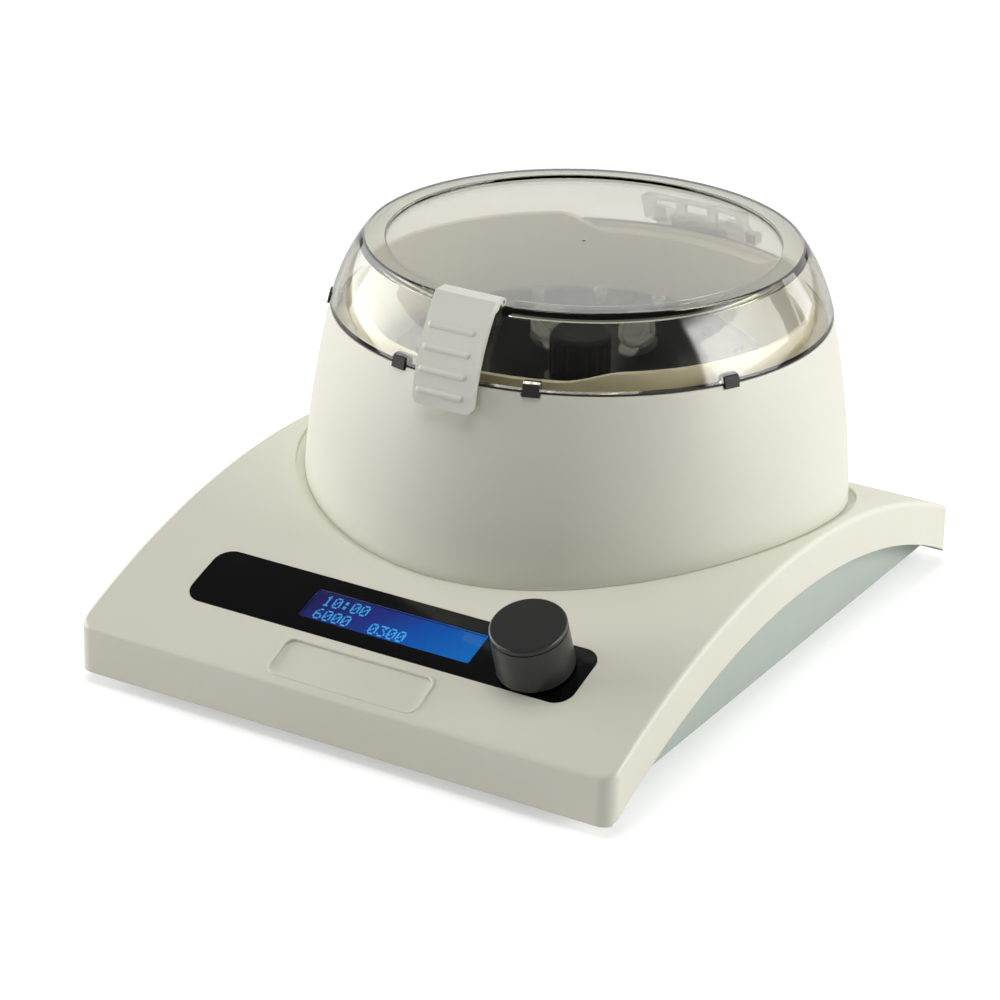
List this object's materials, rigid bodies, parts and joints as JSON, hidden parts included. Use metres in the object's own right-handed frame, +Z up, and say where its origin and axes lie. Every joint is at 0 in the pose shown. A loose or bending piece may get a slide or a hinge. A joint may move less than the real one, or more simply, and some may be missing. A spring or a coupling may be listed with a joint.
{
  "type": "centrifuge vortex mixer",
  "caption": "Bench-top centrifuge and vortex mixer with an arched base, hinged clear lid, front latch, angled rotor, display and push knob.",
  "frame": {"origin": "on the table, under the middle of the base", "axes": "+Z up, -Y towards the front with the display and latch, +X to the right seen from the front"},
  "size_m": [0.19, 0.2373, 0.1253],
  "materials": {
    "cover_plastic": "satin moulded ivory plastic",
    "housing_plastic": "matt moulded grey-green plastic",
    "liner_plastic": "satin moulded beige plastic",
    "soft_rubber": "matt black rubber",
    "screw_steel": "zinc-plated steel",
    "pin_steel": "ground stainless steel",
    "plate_steel": "plain zinc-plated sheet",
    "stator_winding": "laminations with enamelled copper",
    "magnet": "nickel-plated magnet",
    "rotor_plastic": "semi-gloss black plastic",
    "tube_plastic": "frosted clear polypropylene",
    "lid_clear": "smoky clear polished plastic",
    "latch_plastic": "translucent off-white plastic",
    "fascia_gloss": "gloss black",
    "display_clear": "clear gloss window",
    "display_glass": "blue backlit display glass",
    "circuit_board": "green solder mask",
    "knob_plastic": "satin dark grey plastic",
    "black_plastic": "moulded black plastic"
  },
  "bodies": {
    "base": {"top_cover": "cover_plastic", "lower_housing": "housing_plastic", "rubber_feet": "soft_rubber", "base_screws": "screw_steel", "bowl_shell": "cover_plastic", "bowl_screws": "screw_steel", "bowl_liner": "liner_plastic", "shaft_boot": "soft_rubber", "motor_plate": "plate_steel", "motor_isolators": "soft_rubber", "motor_screws": "screw_steel", "motor_can": "plate_steel", "motor_stator": "stator_winding", "motor_bearings": "pin_steel", "hinge_pin": "pin_steel", "lid_sensor": "circuit_board", "fascia_panel": "fascia_gloss", "display_window": "display_clear", "display_module": "display_glass", "display_board": "circuit_board", "display_screws": "screw_steel", "encoder_body": "black_plastic", "encoder_nut": "screw_steel", "control_board": "circuit_board", "board_screws": "screw_steel", "power_inlet": "black_plastic", "inlet_nut": "screw_steel", "switch_body": "black_plastic"},
    "lid": {"lid": "lid_clear", "rim_seal": "soft_rubber", "lid_hinge_bracket": "lid_clear", "lid_magnet": "magnet", "latch_pin": "pin_steel"},
    "latch": {"latch": "latch_plastic", "latch_spring": "pin_steel"},
    "rotor": {"rotor": "rotor_plastic", "rotor_nut": "rotor_plastic", "drive_shaft": "pin_steel", "magnet_rotor": "magnet", "large_tubes": "tube_plastic", "small_tubes": "tube_plastic"},
    "knob_plunger": {"encoder_plunger": "black_plastic"},
    "knob": {"control_knob": "knob_plastic", "encoder_shaft": "pin_steel"},
    "rocker": {"power_rocker": "black_plastic"}
  },
  "joints": [
    {"name": "lid_hinge", "type": "hinge", "parent": "base", "child": "lid", "pos_m": [0, 0.112, 0.1022], "axis": [-1, 0, 0], "range_deg": [0, 100]},
    {"name": "latch_pivot", "type": "hinge", "parent": "lid", "child": "latch", "pos_m": [0, -0.0406, 0.1239], "axis": [-1, 0, 0], "range_deg": [0, 30], "stiffness_Nm_per_rad": 0.01, "springref_deg": -17.19},
    {"name": "rotor_spin", "type": "hinge", "parent": "base", "child": "rotor", "pos_m": [0, 0.0268, 0.06], "axis": [0, 0, 1], "continuous": true},
    {"name": "knob_press", "type": "slide", "parent": "base", "child": "knob_plunger", "axis": [0, 0.3326, -0.9431], "range_m": [0, 0.0005], "stiffness_N_per_m": 1500, "springref_m": -0.0005},
    {"name": "knob_turn", "type": "hinge", "parent": "knob_plunger", "child": "knob", "pos_m": [0.052, -0.0875, 0.03232], "axis": [0, -0.3326, 0.9431], "continuous": true},
    {"name": "rocker_tilt", "type": "hinge", "parent": "base", "child": "rocker", "pos_m": [-0.042, 0.116, 0.0124], "axis": [0, 0, 1], "range_deg": [0, 18]}
  ]
}
